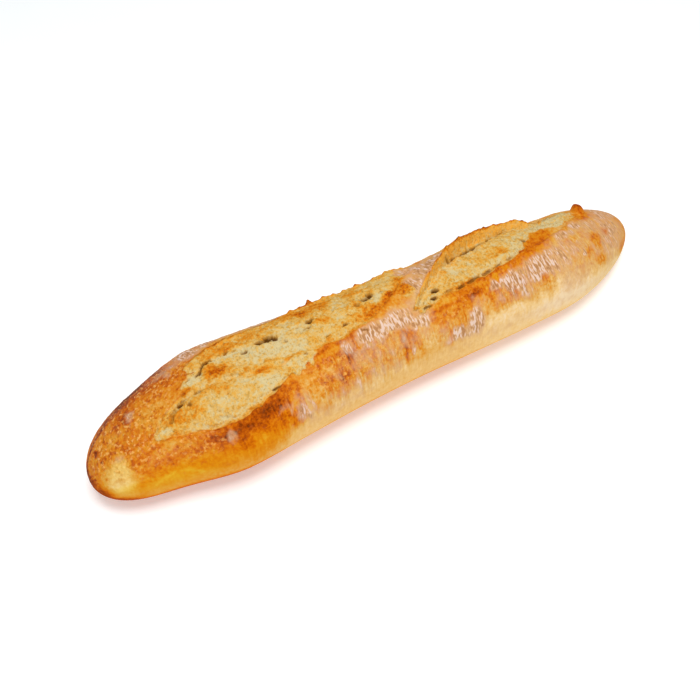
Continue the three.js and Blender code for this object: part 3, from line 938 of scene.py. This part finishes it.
def plain_bake(warp_x, away, streak):
    """Bake of the crust before any placed spots, from 0 for pale to 1 for dark brown."""
    plain = down_the_side(away, PLAIN_BAKE)
    browning = rise(away, *BROWNED_SIDE["round"]) * fall(warp_x, *BROWNED_SIDE["along"])
    plain = plain + BROWNED_SIDE["bake"] * browning
    at_near = fall(warp_x, *NEAR_END)
    bake = plain * (1 - at_near) + down_the_side(away, NEAR_BAKE) * at_near
    bake = bake - FAR_END_PALER * rise(warp_x, *FAR_END)
    return bake + STREAK_BAKE * streak * fall(away, *STREAKED_DOWN_TO)


def bake_field(bake, x, line_angle, warp_x, warp_angle, slashes, curl):
    """The bake with its placed spots and lines, brown crests and lips, and paler strips."""
    for share, value in spots(BAKED, warp_x, warp_angle):
        bake = toward(bake, value, share)
    for points, half_width, value in BAKED_LINES:
        bake = toward(bake, value, line_share(points, half_width, x, line_angle))
    bake = toward(bake, CREST_BAKE, np.clip(slashes["crest"] + curl, 0, 1))
    bake = toward(bake, LIP_BAKE, LIP_SHARE * slashes["lip"])
    bake = bake - BEHIND_PALER * slashes["behind"] * (1 - slashes["crest"])
    return np.clip(bake, 0, 1)


def toast_field(warp_x, warp_angle, slashes, lumps, crags):
    """How far the torn crumb is toasted: high spots and the faces of the ears more."""
    plain, by_lumps, by_crags = PLAIN_TOAST
    toast = plain + by_lumps * lumps + by_crags * crags
    for share, value in spots(TOASTED, warp_x, warp_angle):
        toast = toward(toast, value + SPOT_TOAST[0] * lumps + SPOT_TOAST[1] * crags, share)
    toast = toward(toast, FACE_TOAST, FACE_SHARE * slashes["ear_face"])
    toast = toward(toast, BRINK_TOAST, BRINK_SHARE * slashes["brink"])
    return np.clip(toward(toast, CREST_BAKE, slashes["crest"]), 0, 1)


def flour_field(warp_x, warp_angle, ridges, pleat, crust):
    """How thick the flour lies, thicker on the ridges of the pleats."""
    flour = np.maximum(strongest(FLOURED, warp_x, warp_angle), LEAST_FLOUR)
    flour = flour * (1 + pleat * RIDGE_FLOUR * (ridges - 0.5))
    flour = flour * (1 - strongest(BARE, warp_x, warp_angle))
    return np.clip(flour, 0, 1) * smooth(crust * FLOUR_TO_LIP)


def rails_at(x, rail, slashes):
    line = np.interp(x, rail[0], rail[1])
    front = line - RAIL_HALF_GAP
    back = line + RAIL_HALF_GAP
    for slash in slashes:
        open_share, front_lip, back_lip = lips_at(slash, x)
        front = np.where(open_share > 0, np.minimum(front, front_lip), front)
        back = np.where(open_share > 0, np.maximum(back, back_lip), back)
    return front, back


def row_angles(x):
    """The angle of every row of points at each station, from the bottom round by the front."""
    front_lip, front_ear = rails_at(x, FRONT_RAIL, (NEAR_SLASH, FAR_SLASH))
    middle_lip, back_ear = rails_at(x, BACK_RAIL, (MIDDLE_SLASH,))
    back_lip = np.maximum(middle_lip, front_ear + RAIL_CLEARANCE)
    across = np.arange(SLASH_ROWS) / SLASH_ROWS
    across = across - LIP_CROWDING * np.sin(2 * np.pi * across)
    rows = []
    for i in range(FRONT_ROWS):
        rows.append(front_lip - (front_lip + 180) * (1 - i / FRONT_ROWS) ** SIDE_CROWDING)
    for share in across:
        rows.append(front_lip + (front_ear - front_lip) * share)
    for i in range(BETWEEN_ROWS):
        rows.append(front_ear + (back_lip - front_ear) * i / BETWEEN_ROWS)
    for share in across:
        rows.append(back_lip + (back_ear - back_lip) * share)
    for i in range(BACK_ROWS):
        rows.append(back_ear + (180 - back_ear) * (i / BACK_ROWS) ** SIDE_CROWDING)
    return np.stack(rows, -1)


def station_x(i):
    share = i / STATIONS
    crowded = (1 - np.cos(np.pi * share)) / 2
    return LENGTH * (share + (crowded - share) * TIP_CROWDING) - HALF


# ---- Materials ----


def colour(red, green, blue):
    """A colour as a screen shows it, from 0 to 255, made linear."""
    shown = (red / 255, green / 255, blue / 255)
    linear = [v / 12.92 if v <= 0.04045 else ((v + 0.055) / 1.055) ** 2.4 for v in shown]
    return (*linear, 1.0)


class Socket:
    """A value in a material, with the usual arithmetic."""

    def __init__(self, finish, link):
        self.finish = finish
        self.link = link

    def math(self, operation, *values, clamp=False):
        inputs = dict(enumerate(values))
        settings = {"operation": operation, "use_clamp": clamp}
        return self.finish.node("ShaderNodeMath", settings, inputs)

    def __add__(self, other):
        return self.math("ADD", self, other)

    def __sub__(self, other):
        return self.math("SUBTRACT", self, other)

    def __rsub__(self, other):
        return self.math("SUBTRACT", other, self)

    def __mul__(self, other):
        return self.math("MULTIPLY", self, other)

    __radd__ = __add__
    __rmul__ = __mul__

    def held(self):
        return self.math("ADD", self, 0.0, clamp=True)


class Finish:
    """A material under construction."""

    def __init__(self, name):
        self.material = bpy.data.materials.new(name)
        self.material.use_nodes = True
        self.tree = self.material.node_tree
        self.tree.nodes.clear()

    def node(self, kind, settings=None, inputs=None, output=0):
        made = self.tree.nodes.new(kind)
        for name, value in (settings or {}).items():
            if name == "stops":
                self.set_stops(made.color_ramp, value)
            else:
                setattr(made, name, value)
        for name, value in (inputs or {}).items():
            if isinstance(value, Socket):
                self.tree.links.new(value.link, made.inputs[name])
            else:
                made.inputs[name].default_value = value
        return Socket(self, made.outputs[output])

    @staticmethod
    def set_stops(ramp, stops):
        while len(ramp.elements) < len(stops):
            ramp.elements.new(1)
        for element, (place, value) in zip(ramp.elements, stops):
            element.position = place
            element.color = value

    def attribute(self, name):
        return self.node("ShaderNodeAttribute", {"attribute_name": name}, output=2)

    def places(self, size_x, size_y, size_z):
        """Places on the piece, counted in steps of the given sizes in millimetres."""
        place = self.node("ShaderNodeTexCoord", output=3)
        steps = (1 / (size_x * MM), 1 / (size_y * MM), 1 / (size_z * MM))
        return self.node("ShaderNodeVectorMath", {"operation": "MULTIPLY"}, {0: place, 1: steps})

    def noise(self, sizes, detail, roughness=0.5, offset=0.0):
        places = self.places(*sizes)
        if offset:
            moved = (offset, 2 * offset, 3 * offset)
            places = self.node("ShaderNodeVectorMath", {"operation": "ADD"}, {0: places, 1: moved})
        inputs = {"Vector": places, "Scale": 1.0, "Detail": detail, "Roughness": roughness}
        return self.node("ShaderNodeTexNoise", {}, inputs)

    def cells(self, sizes):
        inputs = {"Vector": self.places(*sizes), "Scale": 1.0, "Smoothness": 0.3}
        return self.node("ShaderNodeTexVoronoi", {"feature": "SMOOTH_F1"}, inputs)

    def ramp(self, value, stops, colours):
        shown = [(place, getattr(colours, name)) for name, place in stops.items()]
        return self.node("ShaderNodeValToRGB", {"stops": shown}, {0: value})

    def step(self, value, low, high):
        """0 below low, 1 above high and a soft change between them."""
        inputs = {"Value": value, "From Min": low, "From Max": high}
        return self.node("ShaderNodeMapRange", {"interpolation_type": "SMOOTHSTEP"}, inputs)

    def mix(self, share, first, second, blend="MIX"):
        settings = {"data_type": "RGBA", "blend_type": blend}
        return self.node("ShaderNodeMix", settings, {0: share, 6: first, 7: second}, output=2)

    def shade(self, fixed, changing):
        shader = self.tree.nodes.new("ShaderNodeBsdfPrincipled")
        for name, value in fixed.items():
            shader.inputs[name].default_value = value
        for name, value in changing.items():
            self.tree.links.new(value.link, shader.inputs[name])
        output = self.tree.nodes.new("ShaderNodeOutputMaterial")
        self.tree.links.new(shader.outputs[0], output.inputs[0])
        return self.material


def weighed(grain, weights):
    """Patterns added up, each about zero and at its own weight."""
    parts = [(grain[name] - 0.5) * weight for name, weight in weights.items()]
    return sum(parts[1:], parts[0])


def frayed(grain, value, name):
    """A value that the fine pattern moves up and down, so that the layer's edge is frayed."""
    return value + (grain["fine"] - 0.5) * FRAYED[name]


def crust_finish(finish, at, grain, colours):
    """Bake, streaks round the loaf, clear orange, painted highlights and scorched specks on
    blisters.
    """
    spread = weighed(grain, CRUST_WEIGHTS) * (SPREAD["bottom"] + SPREAD["wall"] * at["wall"])
    for name in ("wrinkles", "marks"):
        streak = SPREAD["plain"] + SPREAD[name] * at["pleat"]
        spread = spread + (grain[name] - 0.5) * streak
    crust = finish.ramp(at["bake"] + spread, CRUST_STOPS, colours)
    crust = finish.mix(at["rich"], crust, colours.rich, "MULTIPLY")
    # painted highlights: bright specks on the blisters, drawn to the tops of the domes
    highlight_flecks = grain["highlight_flecks"] + (0.5 - grain["domes"]) * DOME_PAINTED_HIGHLIGHTS
    painted_highlights = finish.step(highlight_flecks, *RANGE["painted_highlights"]) * at["blister"]
    crust = finish.mix(painted_highlights * STRENGTH["painted_highlights"], crust, colours.painted_highlight)
    patches = frayed(grain, grain["patches"], "scorch")
    scorch = finish.step(patches, *RANGE["scorch"]) * at["blister"]
    return finish.mix(scorch * STRENGTH["scorch"], crust, colours.crust_brown)


def crumb_finish(finish, at, grain, colours):
    """Pale crumb with toasted high spots, painted light on the ears' faces and small shaded specks.
    """
    crumb = finish.ramp(at["toast"] + weighed(grain, CRUMB_WEIGHTS), CRUMB_STOPS, colours)
    # painted light: the faces of the ears brightened to gold, as if lit from the front, except
    # where toasted
    face = at["ear"] + (grain["patches"] - 0.5) * PAINTED_FACE_LIGHT_PATCHES + (grain["fine"] - 0.5)
    toasted = finish.step(frayed(grain, at["toast"], "toasted"), *RANGE["toasted"])
    painted_face_light = finish.step(face, *RANGE["painted_face_light"]) * (1 - toasted)
    crumb = finish.mix(painted_face_light * STRENGTH["painted_face_light"], crumb, colours.ear)
    shade = finish.step(frayed(grain, grain["grain"], "shade"), *RANGE["shade"])
    return finish.mix(shade * STRENGTH["shade"], crumb, colours.crumb_shade)


def flour_finish(finish, base, at, grain, colours):
    """An even film of flour, flour and painted sheen on the pleats, and painted shade in the
    creases.
    """
    flour, marks, pleat = at["flour"], grain["marks"], at["pleat"]
    floured = finish.step(flour, *RANGE["floured"])
    film = finish.step(flour + (grain["patches"] - 0.5) * FILM_PATCHES, *RANGE["film"])
    base = finish.mix(film * STRENGTH["film"], base, colours.flour_thin)
    # painted shade in the creases between the pleats
    low = marks - flour * CREASE_SHADE_BY["flour"] - pleat * CREASE_SHADE_BY["pleat"]
    crease_shade = finish.step(low, *RANGE["crease_shade"]) * floured
    base = finish.mix(crease_shade * STRENGTH["crease_shade"], base, colours.crease_shade)
    # streaks on the pleats: partly flour and partly painted sheen
    high = marks + flour * DUST_AND_SHEEN_BY["flour"] + pleat * DUST_AND_SHEEN_BY["pleat"]
    dust_and_sheen = finish.step(high, *RANGE["dust_and_sheen"]) * floured
    return finish.mix(dust_and_sheen * STRENGTH["dust_and_sheen"], base, colours.flour), dust_and_sheen


def bread_bump(finish, at, grain):
    """Blisters, ribs and grain too fine for the mesh, as a bumped normal."""
    fine, patches, crumb = grain["fine"], grain["patches"], at["crumb"]
    crust_high = (1 - grain["domes"]) * at["blister"] * CRUST_BUMP["domes"]
    crust_high = crust_high + fine * CRUST_BUMP["fine"] + patches * CRUST_BUMP["patches"]
    crust_high = crust_high * (CRUST_BUMP["bottom"] + CRUST_BUMP["wall"] * at["wall"])
    ribs = (grain["wrinkles"] * CRUST_BUMP["wrinkles"] + grain["marks"]) * at["pleat"]
    crumb_high = patches + fine * CRUMB_BUMP["fine"] + grain["grain"] * CRUMB_BUMP["grain"]
    height = (1 - crumb) * (crust_high + ribs) + crumb * crumb_high
    return finish.node("ShaderNodeBump", {}, {**BUMP, "Height": height})


def make_bread(colours):
    """Crust, torn crumb and flour in one finish, spread by what the oven did at each point."""
    finish = Finish("baked_bread")
    at = {name: finish.attribute(name) for name in ATTRIBUTES}
    grain = {name: finish.noise(*pattern) for name, pattern in PATTERNS.items()}
    grain["domes"] = finish.cells(DOME_SIZES)
    crumb = at["crumb"]

    crust_colour = crust_finish(finish, at, grain, colours)
    crumb_colour = crumb_finish(finish, at, grain, colours)
    torn = finish.step(frayed(grain, crumb, "torn"), *RANGE["torn"])
    base = finish.mix(torn, crust_colour, crumb_colour)
    base, dust_and_sheen = flour_finish(finish, base, at, grain, colours)
    # painted shade in holes and cracks: a lighter shade at their rims, a deep one further in
    for name, shown in (("hollow", colours.hollow), ("deep_hollow_shade", colours.deep_hollow_shade)):
        base = finish.mix(finish.step(at["hollow"], *RANGE[name]) * STRENGTH[name], base, shown)

    edge_on = finish.node("ShaderNodeLayerWeight", {}, {"Blend": 0.5}, output=1)
    gloss = at["blister"] * (1 - crumb) * (1 - dust_and_sheen) * at["wall"] * (1 - edge_on)
    roughness = CRUST_ROUGHNESS + crumb * CRUMB_ROUGHER + dust_and_sheen * DUST_AND_SHEEN_ROUGHER
    changing = {
        "Base Color": base,
        "Roughness": roughness.held(),
        "Coat Weight": (gloss * STRENGTH["gloss"]).held(),
        "Normal": bread_bump(finish, at, grain),
    }
    return finish.shade(BREAD_SHINE, changing)


def make_floor(colours):
    """A white floor that glows a little, so that it stays white under soft light."""
    finish = Finish("studio_white")
    base = finish.mix(finish.noise(*FLOOR_GRAIN), colours.floor, colours.floor_low)
    return finish.shade(FLOOR_SHINE, {"Base Color": base})


# ---- Settings that a user would change ----


def length(name, description, default):
    return bpy.props.FloatProperty(
        name=name, description=description, default=default, min=0, unit="LENGTH", precision=5
    )


def tone(name, description, default):
    return bpy.props.FloatVectorProperty(
        name=name, description=description, default=default, size=4, min=0, max=1, subtype="COLOR"
    )


class BaguetteRelief(bpy.types.PropertyGroup):
    """Heights of the fine relief."""

    blister_height: length("Blisters", "Height of the blisters on the crust", 0.0005)
    pleat_height: length("Pleats", "Height of the pleats in the skin", 0.0006)
    lump_height: length("Crumb lumps", "Height of the soft lumps in the crumb", 0.0008)
    crag_height: length("Crags", "Height of the small crags in the crumb", 0.0007)
    pore_depth: length("Pores", "Depth of the pores in the crumb", 0.0006)
    lip_tear: length("Torn lips", "How far the lips of the slashes wander", 0.0013)
    knob_share: bpy.props.FloatProperty(
        name="Crest knobs", description="Share of the full height of each knob", default=1.0, min=0
    )
    hole_depth: bpy.props.FloatProperty(
        name="Hole depth", description="Share of the full depth of each hole", default=1.0, min=0
    )


class BaguetteColours(bpy.types.PropertyGroup):
    """Colours of the bread, the flour and the floor."""

    crust_palest: tone("Palest crust", "Crust that hardly coloured", colour(247, 219, 178))
    crust_pale: tone("Pale crust", "Lower side of the loaf", colour(242, 203, 139))
    crust_gold: tone("Golden crust", "Lightly baked crust", colour(229, 175, 92))
    crust_orange: tone("Orange crust", "Crust in the middle of its bake", colour(225, 145, 38))
    crust_amber: tone("Amber crust", "Well baked crust", colour(214, 114, 16))
    crust_brown: tone("Brown crust", "Strongly baked crust", colour(178, 78, 10))
    crust_dark: tone("Dark crust", "Nearly burnt crust", colour(100, 42, 8))
    rich: tone("Clear orange", "Filter on the steamiest crust", colour(255, 250, 120))
    # Painted highlight: bright specks on the blisters, where light would catch them.
    painted_highlight: tone("Glint", "Bright specks on the blisters", colour(250, 190, 104))
    crumb_pale: tone("Pale crumb", "Torn crumb that stayed pale", colour(224, 203, 149))
    crumb_cream: tone("Cream crumb", "Torn crumb", colour(232, 190, 110))
    crumb_gold: tone("Golden crumb", "Torn crumb with a little colour", colour(231, 173, 74))
    crumb_toast: tone("Toasted crumb", "High spots of the torn crumb", colour(228, 140, 28))
    # Painted light: the bright golden colour of the ears' faces, as if lit from the front.
    ear: tone("Golden ear", "Face of an ear", colour(252, 178, 66))
    crumb_shade: tone("Crumb shade", "Small shaded specks in the crumb", colour(176, 136, 66))
    # Thick flour, drawn in streaks on the pleats that stand partly for flour and partly for painted
    # sheen.
    flour: tone("Flour", "Thick flour on the crust", colour(244, 220, 208))
    flour_thin: tone("Thin flour", "A film of flour on the crust", colour(220, 174, 132))
    # Painted shade in the creases between floured pleats.
    crease_shade: tone("Crease", "Crust between two floured pleats", colour(160, 100, 50))
    # Painted shade: rims and bottoms of holes and cracks, darkened where shade falls.
    hollow: tone("Hollow", "Rim of holes and crevices", colour(150, 98, 34))
    deep_hollow_shade: tone("Deep hollow", "Bottom of holes and crevices", colour(84, 48, 10))
    floor: tone("Floor", "Studio floor", colour(245, 249, 250))
    floor_low: tone("Floor, second tone", "Faint change in the floor", colour(242, 247, 248))


class BaguetteStudio(bpy.types.PropertyGroup):
    """Camera and lights."""

    azimuth: bpy.props.FloatProperty(
        name="Azimuth", description="Turn of the camera round the loaf",
        default=math.radians(-32), subtype="ANGLE",
    )
    elevation: bpy.props.FloatProperty(
        name="Elevation", description="Height of the camera above the floor, as an angle",
        default=math.radians(49), subtype="ANGLE",
    )
    distance: length("Distance", "From the camera to what it looks at", 0.4522)
    focal: bpy.props.FloatProperty(
        name="Focal length", description="Focal length for a sensor 36 mm wide",
        default=42.69, unit="CAMERA",
    )
    key_power: bpy.props.FloatProperty(
        name="Overhead light", description="Power of the large soft light",
        default=8.0, unit="POWER",
    )
    front_power: bpy.props.FloatProperty(
        name="Front light", description="Power of the soft light in front",
        default=3.5, unit="POWER",
    )
    surround: bpy.props.FloatProperty(
        name="Surround", description="Strength of the white room", default=0.35, min=0
    )


PROPERTY_GROUPS = {
    "baguette_relief": BaguetteRelief,
    "baguette_colours": BaguetteColours,
    "baguette_studio": BaguetteStudio,
}


# ---- Operators ----


def deselect_all():
    for piece in bpy.context.selected_objects:
        piece.select_set(False)
    bpy.context.view_layer.objects.active = None


def vertex_places(mesh):
    places = np.empty(len(mesh.vertices) * 3)
    mesh.vertices.foreach_get("co", places)
    return places.reshape(-1, 3)


class BAGUETTE_OT_loaf(bpy.types.Operator):
    """Shape the loaf with its slashes, ears, holes, blisters and pleats, and bake it"""

    bl_idname = "baguette.loaf"
    bl_label = "Loaf"
    bl_options = {"REGISTER", "UNDO"}

    def execute(self, context):
        scene = context.scene
        deselect_all()
        bpy.ops.mesh.primitive_uv_sphere_add(
            segments=ROWS, ring_count=STATIONS, radius=HALF * MM, calc_uvs=False,
            rotation=(0, math.radians(90), 0),
        )
        loaf = context.object
        loaf.name = "baguette_loaf"
        loaf.data.name = "baguette_loaf"
        bpy.ops.object.transform_apply(location=True, rotation=True, scale=True)
        self.shape(loaf.data, scene.baguette_relief)
        bpy.ops.object.shade_smooth()
        loaf.data.materials.append(make_bread(scene.baguette_colours))
        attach(loaf, "root")
        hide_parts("loaf")
        return {"FINISHED"}

    def shape(self, mesh, relief):
        """Move each point of the ball to its own place, as the relief can't be pulled by hand."""
        ball = vertex_places(mesh)
        ring = np.arccos(np.clip(-ball[:, 0] / (HALF * MM), -1, 1)) / np.pi * STATIONS
        ring = np.rint(ring).astype(int)
        # the ball's columns start on the Y axis, a quarter turn from the crown
        turn = np.arctan2(ball[:, 1], ball[:, 2]) / (2 * np.pi) * ROWS - ROWS / 4
        row = (np.rint(turn).astype(int) + ROWS // 2 + ROWS // 4) % ROWS
        stations = station_x(np.arange(1, STATIONS))
        angles = row_angles(stations)
        x = np.broadcast_to(stations[:, None], angles.shape)
        fields = make_fields(x.copy(), angles, relief)
        tips = make_fields(np.array([-HALF, HALF], float), np.zeros(2), relief)
        at_near = ring == 0
        at_far = ring == STATIONS
        inner = ~(at_near | at_far)
        values = {}
        for name, grid in fields.items():
            value = np.empty(len(ball))
            value[inner] = grid[ring[inner] - 1, row[inner]]
            value[at_near] = tips[name][0]
            value[at_far] = tips[name][1]
            values[name] = value
        place = np.stack([values["x"], values["y"], values["z"]], -1) * MM
        low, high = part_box("loaf")
        place = np.clip(place, np.array(low), np.array(high))
        mesh.vertices.foreach_set("co", place.ravel())
        for name in ATTRIBUTES:
            layer = mesh.attributes.new(name, "FLOAT", "POINT")
            layer.data.foreach_set("value", values[name].astype(np.float32))
        mesh.update()


class BAGUETTE_OT_studio(bpy.types.Operator):
    """Lay a pale floor, hang soft lights and set the camera"""

    bl_idname = "baguette.studio"
    bl_label = "Studio"
    bl_options = {"REGISTER", "UNDO"}

    def execute(self, context):
        studio = context.scene.baguette_studio
        deselect_all()
        bpy.ops.mesh.primitive_plane_add(size=FLOOR_SIZE)
        floor = context.object
        floor.name = "studio_floor"
        floor.data.materials.append(make_floor(context.scene.baguette_colours))
        self.hang_light("overhead_light", OVERHEAD_LIGHT, studio.key_power)
        self.hang_light("front_light", FRONT_LIGHT, studio.front_power)
        self.surround(context.scene, studio)
        self.set_camera(context.scene, studio)
        return {"FINISHED"}

    @staticmethod
    def hang_light(name, lamp, power):
        """Hang a square light that points at the middle of the floor."""
        bpy.ops.object.light_add(type="AREA", location=lamp["place"])
        light = bpy.context.object
        light.name = name
        light.data.shape = "SQUARE"
        light.data.size = lamp["size"]
        light.data.energy = power
        light.rotation_mode = "QUATERNION"
        light.rotation_quaternion = (-Vector(lamp["place"])).to_track_quat("-Z", "Y")

    @staticmethod
    def surround(scene, studio):
        world = bpy.data.worlds.new("white_room")
        world.use_nodes = True
        background = world.node_tree.nodes["Background"]
        background.inputs["Color"].default_value = (1, 1, 1, 1)
        background.inputs["Strength"].default_value = studio.surround
        scene.world = world
        scene.view_settings.view_transform = "Standard"

    @staticmethod
    def set_camera(scene, studio):
        turn = studio.azimuth
        rise = studio.elevation
        right = Vector((math.cos(turn), math.sin(turn), 0))
        ahead = Vector((-math.sin(turn), math.cos(turn), 0))
        back = Vector(
            (math.sin(turn) * math.cos(rise), -math.cos(turn) * math.cos(rise), math.sin(rise))
        )
        target = right * LOOKS_AT[0] + ahead * LOOKS_AT[1]
        bpy.ops.object.camera_add(location=target + back * studio.distance)
        camera = bpy.context.object
        camera.name = "camera"
        camera.rotation_mode = "QUATERNION"
        camera.rotation_quaternion = (-back).to_track_quat("-Z", "Y")
        camera.data.sensor_width = SENSOR_WIDTH
        camera.data.lens = studio.focal
        camera.data.clip_start = NEAREST_SEEN
        camera.data.clip_end = FARTHEST_SEEN
        scene.camera = camera


class BAGUETTE_PT_sidebar(bpy.types.Panel):
    """The baguette's own tab in the sidebar"""

    bl_label = "Baguette"
    bl_idname = "BAGUETTE_PT_sidebar"
    bl_space_type = "VIEW_3D"
    bl_region_type = "UI"
    bl_category = "Baguette"

    def draw(self, context):
        for operator in OPERATORS:
            self.layout.operator(operator.bl_idname)
        for name in PROPERTY_GROUPS:
            settings = getattr(context.scene, name)
            box = self.layout.box()
            for field in settings.bl_rna.properties.keys():
                if field not in ("rna_type", "name"):
                    box.prop(settings, field)


OPERATORS = (BAGUETTE_OT_loaf, BAGUETTE_OT_studio)
CLASSES = (*PROPERTY_GROUPS.values(), *OPERATORS, BAGUETTE_PT_sidebar)


def register():
    for item in CLASSES:
        bpy.utils.register_class(item)
    for name, group in PROPERTY_GROUPS.items():
        setattr(bpy.types.Scene, name, bpy.props.PointerProperty(type=group))


def unregister():
    for name in PROPERTY_GROUPS:
        delattr(bpy.types.Scene, name)
    for item in reversed(CLASSES):
        bpy.utils.unregister_class(item)


def main():
    register()
    bpy.ops.baguette.loaf()
    bpy.ops.baguette.studio()


if __name__ == "__main__":
    main()
